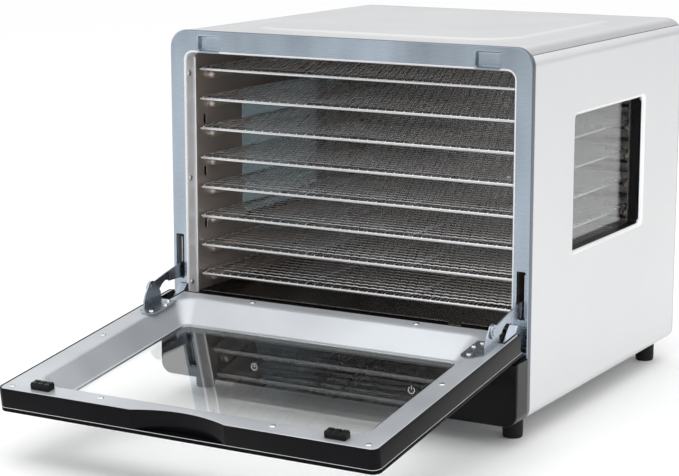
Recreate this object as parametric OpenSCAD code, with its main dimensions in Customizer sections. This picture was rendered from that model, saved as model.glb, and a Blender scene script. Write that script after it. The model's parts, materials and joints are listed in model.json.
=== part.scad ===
// Front-loading food dehydrator with eight wire trays and a drop-down door.
// Millimetres. +X right, +Y towards the back, +Z up.
// The origin is the centre of the four feet, at the height of the worktop.
// The door is drawn shut and then swung down to its open rest angle.

/* [Cabinet] */
// Outside width of the cabinet
cab_w = 400; // [396:1:404]
// Depth from the front frame to the rear panel
cab_d = 384; // [380:1:392]
// Height of the top of the cabinet
cab_top = 375; // [372:1:380]
// Height of the underside of the cabinet
cab_bottom = 22; // [20:1:24]
// Radius of the upper edges of the cabinet
top_r = 18; // [16:1:20]
// Radius of the lower edges of the cabinet
bottom_r = 12; // [10:1:14]
// Thickness of the outer sheet metal
skin_t = 0.8; // [0.6:0.1:1.2]
// Height of the raised field pressed in the top cover
emboss_h = 1.2; // [0.6:0.2:2]
// Diameter of a foot
foot_d = 20; // [16:1:24]

/* [Opening] */
// Width of the front opening
open_w = 363; // [361:1:364]
// Lower edge of the front opening
open_z0 = 98.5; // [98:0.5:99]
// Upper edge of the front opening
open_z1 = 352.5; // [351:0.5:354]
// Depth of the flange that runs back from the opening
flange_d = 17; // [15:1:20]

/* [Side windows] */
// Length of a side window, front to back
window_w = 178; // [160:2:182]
// Lower edge of a side window
window_z0 = 168.5; // [166:0.5:172]
// Upper edge of a side window
window_z1 = 301; // [290:1:306]
// Depth of the black window frame
window_depth = 12; // [10:0.5:13]

/* [Trays] */
// Number of wire trays
tray_count = 8; // [8]
// Height of the top tray
tray_top_z = 334.4; // [333:0.2:335]
// Vertical pitch of the trays
tray_pitch = 30.2; // [29.8:0.1:30.4]
// Outside width of a tray
tray_w = 359; // [352:1:359]
// Depth of a tray
tray_d = 300; // [280:5:302]
// Diameter of the tray frame rod
rod_d = 3.6; // [3:0.2:4]

/* [Door] */
// Width of the door
door_w = 396; // [394:1:398]
// Thickness of the door
door_t = 22.5; // [22:0.5:23]
// Width of the flat metal border on the inside of the door
door_border = 24; // [22:1:26]
// Angle of the open door, measured from shut
door_open = 98; // [96:0.5:99]
// Half width of the finger scoop in the free edge
scoop_half = 50; // [40:1:60]
// Depth of the finger scoop
scoop_d = 9.5; // [6:0.5:10]

/* [Control panel] */
// Height of the top of the control panel
panel_top = 83.4; // [82:0.2:83.4]
// How far the control panel stands out from the front frame
panel_out = 24.5; // [24:0.5:25]

/* [Hidden] */
$fn = 64;
yf = -cab_d / 2;
yb = cab_d / 2;
hw = cab_w / 2;
open_h = open_w / 2;
seam_a = 37;
sheet_gap = 0.4;
rim_d = 6;
frame_t = 1.2;
liner_t = 0.8;
liner_x = open_h - 1;
liner_y0 = yf + 15;
baffle_y = yf + 330;
rear_t = 1.4;
rear_y = yb - rear_t;
tray_y0 = yf + 17;
rib_r = 5;
rib_gap = 0.3;
rib_x = liner_x - 2;
rib_drop = sqrt(pow(rod_d / 2 + rib_gap + rib_r, 2) - pow(rib_x - tray_w / 2 + rod_d / 2, 2));
door_gap = 2;
pivot_y = yf - 14;
pivot_z = 97.5;
door_y1 = yf - door_gap;
door_y0 = door_y1 - door_t;
door_z0 = 92.3;
door_z1 = cab_top;
glass_t = 4;
glass_z0 = 89.5;
hole_z0 = 133.5;
hole_z1 = 332.5;
hole_h = 155;
lip_h = door_w / 2 - door_border;
lip_z0 = 108;
lip_z1 = open_z1;
slot_x0 = 187;
slot_x1 = 196;
slot_z0 = 120.5;
slot_z1 = 166;
latch_x = 154;
latch_z = 362;
latch_w = 25;
latch_h = 14;
pocket_d = 7;
lug_x0 = 182;
lug_x1 = 191;
pin_r = 2.5;
pin_fit = 0.06;
arm_x0 = 189.8;
arm_x1 = 191.3;
rivet_up = 37.4;
rivet_out = 28.4;
rivet_y = pivot_y + rivet_out * cos(door_open) - rivet_up * sin(door_open);
rivet_z = pivot_z + rivet_out * sin(door_open) + rivet_up * cos(door_open);
tail_y = yf + 32;
tail_z = 131;
fan_z = 226;
foot_x = 176;
foot_y = cab_d / 2 - 21;
slat_w = 3.4;
window_y = window_w / 2;

// Extrudes an X-Z profile along Y from y0 to y1.
module along_y(y0, y1) {
  translate([0, y1, 0]) rotate([90, 0, 0]) linear_extrude(y1 - y0) children();
}

// Extrudes a Y-Z profile along X from x0 to x1.
module along_x(x0, x1) {
  translate([x0, 0, 0]) rotate([90, 0, 90]) linear_extrude(x1 - x0) children();
}

// Rectangle with rounded corners, from corner a to corner b.
module round_box(a, b, r) {
  translate([a[0] + r, a[1]]) square([b[0] - a[0] - 2 * r, b[1] - a[1]]);
  translate([a[0], a[1] + r]) square([b[0] - a[0], b[1] - a[1] - 2 * r]);
  for (x = [a[0] + r, b[0] - r], z = [a[1] + r, b[1] - r]) translate([x, z]) circle(r);
}

// Cross section of the cabinet, drawn inset from its outside.
module cabinet_outline(inset) {
  x = hw - inset;
  z0 = cab_bottom + inset;
  z1 = cab_top - inset;
  rt = top_r - inset;
  rb = bottom_r - inset;
  translate([-x, z0 + rb]) square([2 * x, z1 - rt - z0 - rb]);
  translate([-x + rt, z1 - rt - 1]) square([2 * (x - rt), rt + 1]);
  translate([-x + rb, z0]) square([2 * (x - rb), rb + 1]);
  for (s = [-1, 1]) {
    translate([s * (x - rt), z1 - rt]) circle(rt);
    translate([s * (x - rb), z0 + rb]) circle(rb);
  }
}

// Sheet of the outer case as an X-Z profile.
module skin_profile() {
  difference() {
    cabinet_outline(sheet_gap);
    cabinet_outline(sheet_gap + skin_t);
  }
}

// Wedge above the two seams, a little narrower by g.
module seam_region(g) {
  cx = hw - top_r;
  cz = cab_top - top_r;
  k = 60;
  polygon([
    [-cx, cz + g], [cx, cz + g],
    [cx + k * cos(seam_a), cz + k * sin(seam_a) + g],
    [cx, cab_top + k], [-cx, cab_top + k],
    [-cx - k * cos(seam_a), cz + k * sin(seam_a) + g]
  ]);
}

module top_cover() {
  color("gainsboro")
  union() {
    along_y(yf + rim_d + 0.6, rear_y) intersection() {
      skin_profile();
      seam_region(0.2);
    }
    translate([0, 0, cab_top - sheet_gap - 0.1])
    linear_extrude(emboss_h + 0.1)
    round_box([-145, yf + 52], [145, yb - 42], 48);
  }
}

// One side of the case: from the seam, down and round the lower edge.
module side_panel(s) {
  color("whitesmoke")
  difference() {
    union() {
      along_y(yf + rim_d + 0.6, rear_y) difference() {
        skin_profile();
        seam_region(-0.2);
        translate([s > 0 ? -hw - 1 : -185, 0]) square([hw + 186, cab_top + 60]);
      }
      along_x(s > 0 ? hw - 3.6 : -hw + 2.8, s > 0 ? hw - 2.8 : -hw + 3.6)
      round_box([-window_y - 4, window_z0 - 4], [window_y + 4, window_z1 + 4], 6);
      along_x(s > 0 ? hw - 3.6 : -hw + 1.1, s > 0 ? hw - 1.1 : -hw + 3.6)
      difference() {
        round_box([-window_y - 4, window_z0 - 4], [window_y + 4, window_z1 + 4], 6);
        round_box([-window_y - 2.6, window_z0 - 2.6], [window_y + 2.6, window_z1 + 2.6], 5);
      }
    }
    along_x(s > 0 ? hw - 2.8 : -hw - 1, s > 0 ? hw + 1 : -hw + 2.8)
    round_box([-window_y - 2.6, window_z0 - 2.6], [window_y + 2.6, window_z1 + 2.6], 5);
    along_x(s > 0 ? hw - 10 : -hw - 1, s > 0 ? hw + 1 : -hw + 10)
    round_box([-window_y, window_z0], [window_y, window_z1], 4);
  }
}

module left_side_panel() { side_panel(-1); }

module right_side_panel() { side_panel(1); }

// Positions of the four feet.
module at_feet() {
  for (x = [-foot_x, foot_x], y = [-foot_y, foot_y]) translate([x, y, 0]) children();
}

module base_plate() {
  color("silver")
  difference() {
    translate([-184.6, yf + rim_d + 0.6, cab_bottom + sheet_gap])
    cube([369.2, rear_y - yf - rim_d - 0.6, 1.2]);
    at_feet() cylinder(r = 2.3, h = 40);
    for (x = [-60:20:60], y = [-60:30:60]) translate([x - slat_w / 2, y - 9, 0]) cube([slat_w, 18, 60]);
  }
}

// Places a screw hole or screw at each rear panel fixing point.
module at_rear_screws() {
  for (x = [-188, 188], z = [45, 130, 215, 300]) translate([x, 0, z]) children();
  for (x = [-120, 0, 120], z = [30, 366]) translate([x, 0, z]) children();
}

module rear_panel() {
  color("lightgray")
  difference() {
    along_y(rear_y, yb) difference() {
      cabinet_outline(sheet_gap);
      for (z = [-40:8:40]) translate([-slat_z(z), fan_z + z - slat_w / 2]) square([2 * slat_z(z), slat_w]);
      for (z = [50:8:82], s = [-1, 1]) translate([s * 60 - 40, z]) square([80, slat_w]);
      translate([136, 44]) square([28.4, 20.4]);
    }
    at_rear_screws() rotate([90, 0, 0]) cylinder(r = 1.7, h = 400, center = true);
  }
}

// Half length of a vent slot at height z within the round grille.
function slat_z(z) = sqrt(48 * 48 - z * z);

// Latch pocket centres on the front frame.
module at_latches() {
  for (s = [-1, 1]) translate([s * latch_x, latch_z]) children();
}

module front_frame() {
  color("lightsteelblue")
  difference() {
    union() {
      along_y(yf, yf + frame_t) cabinet_outline(0);
      along_y(yf, yf + rim_d) difference() {
        cabinet_outline(0);
        cabinet_outline(1.2);
      }
      along_y(yf, yf + flange_d)
      round_box([-open_h - 1, open_z0 - 1], [open_h + 1, open_z1 + 1], 9);
      along_y(yf, yf + pocket_d + 1) at_latches()
      round_box([-latch_w / 2 - 1, -latch_h / 2 - 1], [latch_w / 2 + 1, latch_h / 2 + 1], 3);
      for (s = [-1, 1]) along_y(yf, yf + 4)
      translate([s * (slot_x0 + slot_x1) / 2, 0])
      round_box([-(slot_x1 - slot_x0) / 2 - 0.9, slot_z0 - 0.9], [(slot_x1 - slot_x0) / 2 + 0.9, slot_z1 + 0.9], 2);
    }
    along_y(yf - 1, yf + flange_d + 1) round_box([-open_h, open_z0], [open_h, open_z1], 8);
    along_y(yf - 1, yf + pocket_d) at_latches()
    round_box([-latch_w / 2, -latch_h / 2], [latch_w / 2, latch_h / 2], 2);
    for (s = [-1, 1]) along_y(yf - 1, yf + 5)
    translate([s * (slot_x0 + slot_x1) / 2, 0])
    round_box([-(slot_x1 - slot_x0) / 2, slot_z0], [(slot_x1 - slot_x0) / 2, slot_z1], 1.2);
    at_liner_screws() rotate([0, 90, 0]) cylinder(r = 1.6, h = 40, center = true);
  }
}

// Screws through the opening's side flanges.
module at_liner_screws() {
  for (s = [-1, 1], z = [116, 224, 331]) translate([s * open_h, yf + 6, z]) children();
}

module liner_wall(s) {
  wall_y1 = rear_y - 0.4;
  x0 = s > 0 ? liner_x : -liner_x - liner_t;
  color("silver")
  difference() {
    union() {
      along_x(x0, x0 + liner_t)
      difference() {
        translate([liner_y0, open_z0 + 0.4]) square([wall_y1 - liner_y0, open_z1 - open_z0 - 0.8]);
        round_box([-window_y - 1, window_z0 - 1], [window_y + 1, window_z1 + 1], 4);
        for (z = [173.5, 228, 282]) translate([yf + 32, z]) round_box([-2.3, -5], [2.3, 5], 2.2);
      }
      for (k = [0:tray_count - 1]) {
        zc = tray_top_z - k * tray_pitch - rib_drop;
        for (run = [[yf + 42, -window_y - 6], [window_y + 6, baffle_y - 12]])
        translate([s * rib_x, 0, zc]) {
          translate([0, run[0], 0]) rotate([-90, 0, 0]) cylinder(r = rib_r, h = run[1] - run[0]);
          translate([0, run[0], 0]) sphere(r = rib_r);
          translate([0, run[1], 0]) sphere(r = rib_r);
        }
      }
    }
    translate([s > 0 ? liner_x + liner_t : -liner_x - liner_t - 20, yf, 0]) cube([20, cab_d, cab_top]);
  }
}

module left_liner_wall() { liner_wall(-1); }

module right_liner_wall() { liner_wall(1); }

module liner_ceiling() {
  color("silver")
  translate([-liner_x + 0.1, liner_y0, open_z1 - liner_t - 0.4])
  cube([2 * liner_x - 0.2, rear_y - 0.4 - liner_y0, liner_t]);
}

module liner_floor() {
  color("silver")
  translate([-liner_x + 0.1, liner_y0, open_z0 + 0.4])
  cube([2 * liner_x - 0.2, rear_y - 0.4 - liner_y0, liner_t]);
}

// Round air holes of the baffle, in rings round the fan axis.
module ring_holes(r, count, hole_r) {
  for (i = [0:count - 1]) rotate(i * 360 / count) translate([r, 0]) circle(hole_r);
}

module rear_baffle() {
  color("silver")
  along_y(baffle_y, baffle_y + 1) difference() {
    translate([-liner_x + 0.2, open_z0 + 1.4]) square([2 * liner_x - 0.4, open_z1 - open_z0 - 2.8]);
    translate([0, fan_z]) {
      circle(3);
      ring_holes(14, 8, 3);
      ring_holes(27, 14, 3);
      ring_holes(40, 20, 3);
      ring_holes(53, 26, 3);
      ring_holes(66, 32, 3);
    }
    for (s = [-1, 1], z = [116:12:336]) translate([s * 150, z]) round_box([-16, -1.8], [16, 1.8], 1.7);
  }
}

// Black frame behind the window opening of a side panel.
module window_frame(s) {
  x1 = s > 0 ? hw - 3.8 : -hw + 3.8 + window_depth - 1;
  x0 = s > 0 ? hw - 3.8 - window_depth + 1 : -hw + 3.8;
  color("black")
  along_x(x0, x1) difference() {
    round_box([-window_y - 4, window_z0 - 4], [window_y + 4, window_z1 + 4], 7);
    round_box([-window_y, window_z0], [window_y, window_z1], 4);
  }
}

module left_window_frame() { window_frame(-1); }

module right_window_frame() { window_frame(1); }

module window_glass(s) {
  x0 = s > 0 ? hw - 3.9 - window_depth - 2 : -hw + 3.9 + window_depth - 1;
  color("lightblue", 0.4)
  along_x(x0, x0 + 3) round_box([-window_y - 3, window_z0 - 3], [window_y + 3, window_z1 + 3], 6);
}

module left_window_glass() { window_glass(-1); }

module right_window_glass() { window_glass(1); }

// Outline of the control panel: square above, round lower corners.
module panel_outline(inset) {
  r = bottom_r - inset;
  x = hw - inset;
  z0 = cab_bottom + inset;
  translate([-x, z0 + r]) square([2 * x, panel_top - inset - z0 - r]);
  translate([-x + r, z0]) square([2 * (x - r), r + 1]);
  for (s = [-1, 1]) translate([s * (x - r), z0 + r]) circle(r);
}

module control_housing() {
  color("dimgray")
  difference() {
    along_y(yf - panel_out + 3, yf) panel_outline(0);
    along_y(yf - panel_out + 2, yf - 2) panel_outline(2.5);
  }
}

module control_face() {
  color("black")
  along_y(yf - panel_out, yf - panel_out + 3) panel_outline(0);
}

module control_board() {
  color("darkgreen")
  union() {
    translate([-120, yf - panel_out + 3, 34]) cube([240, 1.6, 40]);
    for (x = [-100:40:100]) translate([x, yf - panel_out + 4.5, 54]) rotate([-90, 0, 0]) cylinder(r = 5, h = 7);
    translate([-30, yf - panel_out + 4.5, 38]) cube([24, 9, 12]);
  }
}

module fan_motor() {
  color("slategray")
  difference() {
    union() {
      translate([0, rear_y, fan_z]) rotate([90, 0, 0]) cylinder(r = 30, h = 26);
      translate([-42, rear_y - 3, fan_z - 9]) cube([84, 3, 18]);
    }
    translate([0, rear_y - 6, fan_z]) rotate([90, 0, 0]) cylinder(r = 3 + pin_fit, h = 40);
  }
}

module fan_rotor() {
  color("silver")
  union() {
    translate([0, rear_y - 7, fan_z]) rotate([90, 0, 0]) cylinder(r = 3, h = 34);
    translate([0, rear_y - 27, fan_z]) rotate([90, 0, 0]) cylinder(r = 16, h = 14);
    for (i = [0:6])
    translate([0, rear_y - 34, fan_z]) rotate([0, i * 360 / 7, 0]) translate([13, 0, 0])
    rotate([32, 0, 0]) translate([0, -0.75, -11]) cube([57, 1.5, 22]);
  }
}

module heating_element() {
  color("saddlebrown")
  union() {
    translate([0, baffle_y + 14, fan_z]) rotate([90, 0, 0]) rotate_extrude() translate([92, 0]) circle(3.5);
    for (x = [-8, 8])
    translate([x, baffle_y + 14, fan_z - sqrt(92 * 92 - x * x)])
    rotate([-90, 0, 0]) cylinder(r = 3, h = rear_y - baffle_y - 14);
  }
}

module power_inlet() {
  color("black")
  difference() {
    union() {
      translate([136.2, rear_y - 22, 44.2]) cube([28, 22 + rear_t + 1, 20]);
      translate([132, yb, 40]) cube([36.4, 2, 28.4]);
    }
    translate([138.7, rear_y - 16, 46.7]) cube([23, 30, 15]);
  }
  color("gold")
  for (x = [143.2, 150.2, 157.2])
  translate([x - 1, rear_y - 19, 52.2]) cube([2, 17, 4]);
}

module rubber_feet() {
  color("black")
  at_feet() difference() {
    union() {
      cylinder(r1 = foot_d / 2 - 1, r2 = foot_d / 2, h = 2);
      translate([0, 0, 2]) cylinder(r = foot_d / 2, h = cab_bottom + sheet_gap - 2);
    }
    translate([0, 0, -1]) cylinder(r = 4.5, h = 7);
    cylinder(r = 2.1, h = 60);
  }
}

module foot_screws() {
  color("silver")
  at_feet() union() {
    translate([0, 0, 3.4]) cylinder(r = 4, h = 2.6);
    translate([0, 0, 5]) cylinder(r = 2, h = cab_bottom + 2);
  }
}

module liner_screws() {
  color("silver")
  for (s = [-1, 1], z = [116, 224, 331])
  translate([s * open_h, yf + 6, z]) union() {
    translate([s > 0 ? -1.4 : 0, 0, 0]) rotate([0, 90, 0]) cylinder(r = 3, h = 1.4);
    translate([s > 0 ? 0 : -4, 0, 0]) rotate([0, 90, 0]) cylinder(r = 1.5, h = 4);
  }
}

module rear_screws() {
  color("silver")
  at_rear_screws() union() {
    translate([0, yb + 1.4, 0]) rotate([90, 0, 0]) cylinder(r = 3, h = 1.4);
    translate([0, yb + 0.5, 0]) rotate([90, 0, 0]) cylinder(r = 1.5, h = 8);
  }
}

// Fixed lugs on the front frame that carry the door's pivot pins.
module hinge_lugs() {
  color("silver")
  for (s = [-1, 1])
  difference() {
    along_x(s > 0 ? lug_x0 : -lug_x1, s > 0 ? lug_x1 : -lug_x0) union() {
      translate([pivot_y, pivot_z]) circle(5.4);
      polygon([[yf, 92.9], [yf, 115.5], [yf - 3, 115.5], [pivot_y - 3, pivot_z + 4.4], [pivot_y, pivot_z - 4.6]]);
    }
    translate([s * (lug_x0 + lug_x1) / 2, pivot_y, pivot_z])
    rotate([0, 90, 0]) cylinder(r = pin_r + pin_fit, h = 20, center = true);
  }
}

// Plates in the double wall whose curved slot guides the tail pin of a hinge arm.
module arm_guides() {
  cy = tail_y - rivet_y + pivot_y;
  cz = tail_z - rivet_z + pivot_z;
  r = norm([rivet_y - pivot_y, rivet_z - pivot_z]);
  a0 = 180 - atan2(rivet_z - pivot_z, pivot_y - rivet_y);
  a1 = a0 - door_open;
  color("gray")
  for (s = [-1, 1])
  union() {
    along_x(s > 0 ? 192.5 : -194, s > 0 ? 194 : -192.5) difference() {
      translate([yf + 6, 112]) square([108, 50.5]);
      difference() {
        translate([cy, cz]) circle(r + 3);
        translate([cy, cz]) circle(r - 3);
        translate([cy, cz]) polygon([
          [0, 0], 200 * [cos(a1 - 1), sin(a1 - 1)], [200, -200], [-200, -200],
          200 * [cos(a0 + 1), sin(a0 + 1)]
        ]);
      }
      translate([cy + r * cos(a0), cz + r * sin(a0)]) circle(3);
      translate([cy + r * cos(a1), cz + r * sin(a1)]) circle(3);
    }
    translate([s > 0 ? liner_x + liner_t : -194, yf + 20, 110.5])
    cube([194 - liner_x - liner_t, 92, 1.6]);
  }
}

// Swings the shut door, and all that it carries, to its open angle.
module door_place() {
  translate([0, pivot_y, pivot_z]) rotate([door_open, 0, 0]) translate([0, -pivot_y, -pivot_z]) children();
}

// Curved bite that the fingers reach into, in the X-Z plane.
module scoop_outline(extra) {
  d = scoop_d + extra;
  h = scoop_half + extra;
  r = (h * h + d * d) / (2 * d);
  translate([0, door_z1 - d + r]) circle(r, $fn = 120);
}

module door_outer_glass() {
  color("black")
  door_place() along_y(door_y0, door_y0 + glass_t)
  round_box([-door_w / 2, glass_z0], [door_w / 2, door_z1], 7);
}

// Door screw positions on the metal border, as [x, z].
function door_screw_points() = [
  [-186, 366], [-90, 361], [90, 361], [186, 366], [-184, 228], [184, 228], [-92, 101], [92, 101]
];

module door_frame() {
  color("black")
  door_place() difference() {
    along_y(door_y0 + glass_t + 0.4, door_y1 - 1) difference() {
      round_box([-door_w / 2, door_z0], [door_w / 2, door_z1], 7);
      round_box([-lip_h - 2, lip_z0 - 2], [lip_h + 2, lip_z1 + 2], 22);
      scoop_outline(0);
    }
    for (s = [-1, 1])
    translate([s > 0 ? lug_x0 - 0.7 : -lug_x1 - 0.7, pivot_y - 8, glass_z0 - 1])
    cube([lug_x1 - lug_x0 + 1.4, 40, 30]);
    for (p = door_screw_points()) translate([p[0], door_y1, p[1]])
    rotate([90, 0, 0]) cylinder(r = 1.6, h = 11);
    translate([0, pivot_y, pivot_z]) rotate([0, 90, 0]) cylinder(r = pin_r, h = 2 * 194.5, center = true);
  }
}

// Flat plate used to build the funnel of the inner panel.
module funnel_plate(x, z0, z1, r, y) {
  along_y(y, y + 0.1) round_box([-x, z0], [x, z1], r, $fn = 32);
}

// Funnel from the border down to the glass, drawn inset by g.
module funnel(g) {
  hull() {
    funnel_plate(lip_h - g, lip_z0 + g, lip_z1 - g, 20 - g, door_y1 - 0.1);
    funnel_plate(hole_h - g, hole_z0 + g, hole_z1 - g, 9 - g, door_y0 + glass_t + 0.2);
  }
}

module door_inner_panel() {
  color("lightgray")
  door_place() difference() {
    union() {
      along_y(door_y1 - 1, door_y1) difference() {
        round_box([-door_w / 2 + 1, door_z0 + 0.5], [door_w / 2 - 1, door_z1 - 1], 6);
        scoop_outline(1);
      }
      funnel(0);
    }
    translate([0, 0.2, 0]) funnel(1.2);
    translate([0, -0.3, 0]) funnel(1.2);
    for (s = [-1, 1])
    translate([s > 0 ? lug_x0 - 0.7 : -lug_x1 - 0.7, pivot_y - 8, glass_z0 - 1])
    cube([lug_x1 - lug_x0 + 1.4, 40, 30]);
    for (p = door_screw_points()) translate([p[0], door_y1 + 1, p[1]])
    rotate([90, 0, 0]) cylinder(r = 1.8, h = 4);
  }
}

// Ribbed plug that snaps into a latch pocket of the front frame.
module door_latch(s) {
  color("black")
  door_place() translate([s * latch_x, door_y1, latch_z]) union() {
    translate([-10.5, 0, -5]) cube([21, 5.2, 10]);
    for (x = [-10.5, -2, 6.5]) translate([x, 5.1, -5]) cube([4, 1.4, 10]);
  }
}

module left_door_latch() { door_latch(-1); }

module right_door_latch() { door_latch(1); }

module door_panel_screws() {
  color("silver")
  door_place() for (p = door_screw_points()) translate([p[0], door_y1, p[1]]) union() {
    translate([0, 1.1, 0]) rotate([90, 0, 0]) cylinder(r = 3, h = 1.1);
    translate([0, 0.5, 0]) rotate([90, 0, 0]) cylinder(r = 1.5, h = 9);
  }
}

// Steel angle riveted to the door border; its upright carries the hinge arm.
module door_bracket(s) {
  ry = rivet_out;
  rz = rivet_up;
  color("silver")
  door_place() difference() {
    union() {
      along_x(s > 0 ? 188 : -189.5, s > 0 ? 189.5 : -188) translate([pivot_y, pivot_z]) union() {
        polygon([
          [12.1, 24.5], [21, 24.5], [ry + 5.5, rz - 4.5], [ry + 6.8, rz], [ry + 4.5, rz + 5.2],
          [26, 49.4], [18.8, 53.6], [12.1, 54.2]
        ]);
        translate([ry, rz]) circle(7);
      }
      translate([s > 0 ? 168 : -189.5, door_y1 + 0.1, pivot_z + 26]) cube([21.5, 1, 34]);
      along_y(door_y1 + 0.1, door_y1 + 1.1) translate([s * 177, pivot_z + 60]) circle(9);
    }
    translate([s * 188, pivot_y + ry, pivot_z + rz]) rotate([0, 90, 0]) cylinder(r = pin_r + pin_fit, h = 12, center = true);
    for (p = bracket_rivet_points()) translate([s * p[0], door_y1, pivot_z + p[1]])
    rotate([90, 0, 0]) cylinder(r = 1.6, h = 6, center = true);
  }
}

// Rivets of one bracket, as [distance from the middle, height above the pivot].
function bracket_rivet_points() = [[175.5, 31], [171.5, 41], [175.5, 60]];

module left_door_bracket() { door_bracket(-1); }

module right_door_bracket() { door_bracket(1); }

module bracket_rivets() {
  color("silver")
  door_place() for (s = [-1, 1], p = bracket_rivet_points())
  translate([s * p[0], door_y1, pivot_z + p[1]]) rotate([-90, 0, 0])
  difference() {
    union() {
      translate([0, 0, 1.1]) cylinder(r1 = 2.8, r2 = 1.8, h = 1.2);
      cylinder(r = 1.5, h = 1.5);
    }
    translate([0, 0, -1]) cylinder(r = 3, h = 1.05);
  }
}

module door_pivot_pins() {
  color("silver")
  door_place() for (s = [-1, 1])
  translate([s * 186.7, pivot_y, pivot_z]) rotate([0, 90, 0]) cylinder(r = pin_r, h = 15.2, center = true);
}

// Hinge arm: pivots on the door bracket and slides level through the slot of the front frame.
module hinge_arm(s) {
  color("silver")
  union() {
    along_x(s > 0 ? arm_x0 : -arm_x1, s > 0 ? arm_x1 : -arm_x0) union() {
      translate([yf, 0]) polygon([
        [-58, 114.1], [-48, 114.2], [-40.5, 116.3], [-35.5, 120.6], [-31, 123], [-27, 123.4], [-23.5, 121.4],
        [-14, 121.4], [0, 121.4], [18, 123.6], [32, 125.8], [32, 136.4], [20, 138.2], [11, 138.2],
        [-2, 136.4], [-14, 134.1], [-27, 131.3], [-40, 127.9], [-50, 125.4], [-58, 126.4]
      ]);
      translate([rivet_y, rivet_z]) circle(6.6);
      translate([tail_y, tail_z]) circle(5.3);
    }
    translate([s * 189.6, rivet_y, rivet_z]) rotate([0, 90, 0]) cylinder(r = pin_r, h = 4.4, center = true);
    translate([s * 191.6, rivet_y, rivet_z]) rotate([0, 90, 0]) cylinder(r = 4, h = 0.8, center = true);
    translate([s * 187.6, rivet_y, rivet_z]) rotate([0, 90, 0]) cylinder(r = 4, h = 0.5, center = true);
    translate([s * 192.8, tail_y, tail_z]) rotate([0, 90, 0]) cylinder(r = 2.4, h = 4, center = true);
  }
}

module left_hinge_arm() { hinge_arm(-1); }

module right_hinge_arm() { hinge_arm(1); }

// Shallow pan that lies on the liner floor under the trays.
module floor_pan() {
  color("silver")
  difference() {
    translate([-174, yf + 8, open_z0 + 1.7]) cube([348, 310, 8]);
    translate([-173, yf + 9, open_z0 + 2.7]) cube([346, 308, 10]);
    translate([112, yf, open_z0 + 7]) cube([14, 12, 10]);
  }
}

// One straight rod between two points of the tray frame.
module rod(a, b) {
  v = b - a;
  translate(a)
  rotate([0, 0, atan2(v[1], v[0])]) rotate([0, 90, 0]) cylinder(r = rod_d / 2, h = norm(v));
}

// Quarter of a rod ring, used at the corners of the tray frame.
module rod_corner(p, a, r) {
  translate(p) rotate([0, 0, a]) rotate_extrude(angle = 90) translate([r, 0]) circle(rod_d / 2);
}

module tray_frame(k) {
  z = tray_top_z - (k - 1) * tray_pitch;
  x = tray_w / 2 - rod_d / 2;
  y0 = tray_y0 + rod_d / 2;
  y1 = tray_y0 + tray_d - rod_d / 2;
  r = 3;
  color("silver")
  translate([0, 0, z]) union() {
    rod([-x + r, y0, 0], [x - r, y0, 0]);
    rod([-x + r, y1, 0], [x - r, y1, 0]);
    rod([-x, y0 + r, 0], [-x, y1 - r, 0]);
    rod([x, y0 + r, 0], [x, y1 - r, 0]);
    rod_corner([x - r, y1 - r, 0], 0, r);
    rod_corner([-x + r, y1 - r, 0], 90, r);
    rod_corner([-x + r, y0 + r, 0], 180, r);
    rod_corner([x - r, y0 + r, 0], 270, r);
    for (s = [-58, 58]) rod([s, y0, 0], [s, y1, 0]);
  }
}

// Woven wire sheet of one tray, drawn as its thin outer envelope.
module tray_mesh(k) {
  z = tray_top_z - (k - 1) * tray_pitch;
  x = tray_w / 2 - rod_d / 2;
  y0 = tray_y0 + rod_d / 2;
  color("gainsboro")
  translate([0, 0, z + rod_d / 2])
  linear_extrude(1.5) round_box([-x, y0], [x, y0 + tray_d - rod_d], 3);
}

top_cover();
left_side_panel();
right_side_panel();
base_plate();
rear_panel();
front_frame();
left_liner_wall();
right_liner_wall();
liner_ceiling();
liner_floor();
rear_baffle();
left_window_frame();
right_window_frame();
left_window_glass();
right_window_glass();
control_housing();
control_face();
control_board();
fan_motor();
fan_rotor();
heating_element();
power_inlet();
rubber_feet();
foot_screws();
liner_screws();
rear_screws();
hinge_lugs();
arm_guides();
door_outer_glass();
door_frame();
door_inner_panel();
left_door_latch();
right_door_latch();
door_panel_screws();
left_door_bracket();
right_door_bracket();
bracket_rivets();
door_pivot_pins();
left_hinge_arm();
right_hinge_arm();
floor_pan();
tray_frame(1);  // tray_frame_1
tray_frame(2);  // tray_frame_2
tray_frame(3);  // tray_frame_3
tray_frame(4);  // tray_frame_4
tray_frame(5);  // tray_frame_5
tray_frame(6);  // tray_frame_6
tray_frame(7);  // tray_frame_7
tray_frame(8);  // tray_frame_8
tray_mesh(1);  // tray_mesh_1
tray_mesh(2);  // tray_mesh_2
tray_mesh(3);  // tray_mesh_3
tray_mesh(4);  // tray_mesh_4
tray_mesh(5);  // tray_mesh_5
tray_mesh(6);  // tray_mesh_6
tray_mesh(7);  // tray_mesh_7
tray_mesh(8);  // tray_mesh_8
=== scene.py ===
import json
import math

import bmesh
import bpy
from mathutils import Matrix, Vector
from mathutils.geometry import tessellate_polygon


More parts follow.
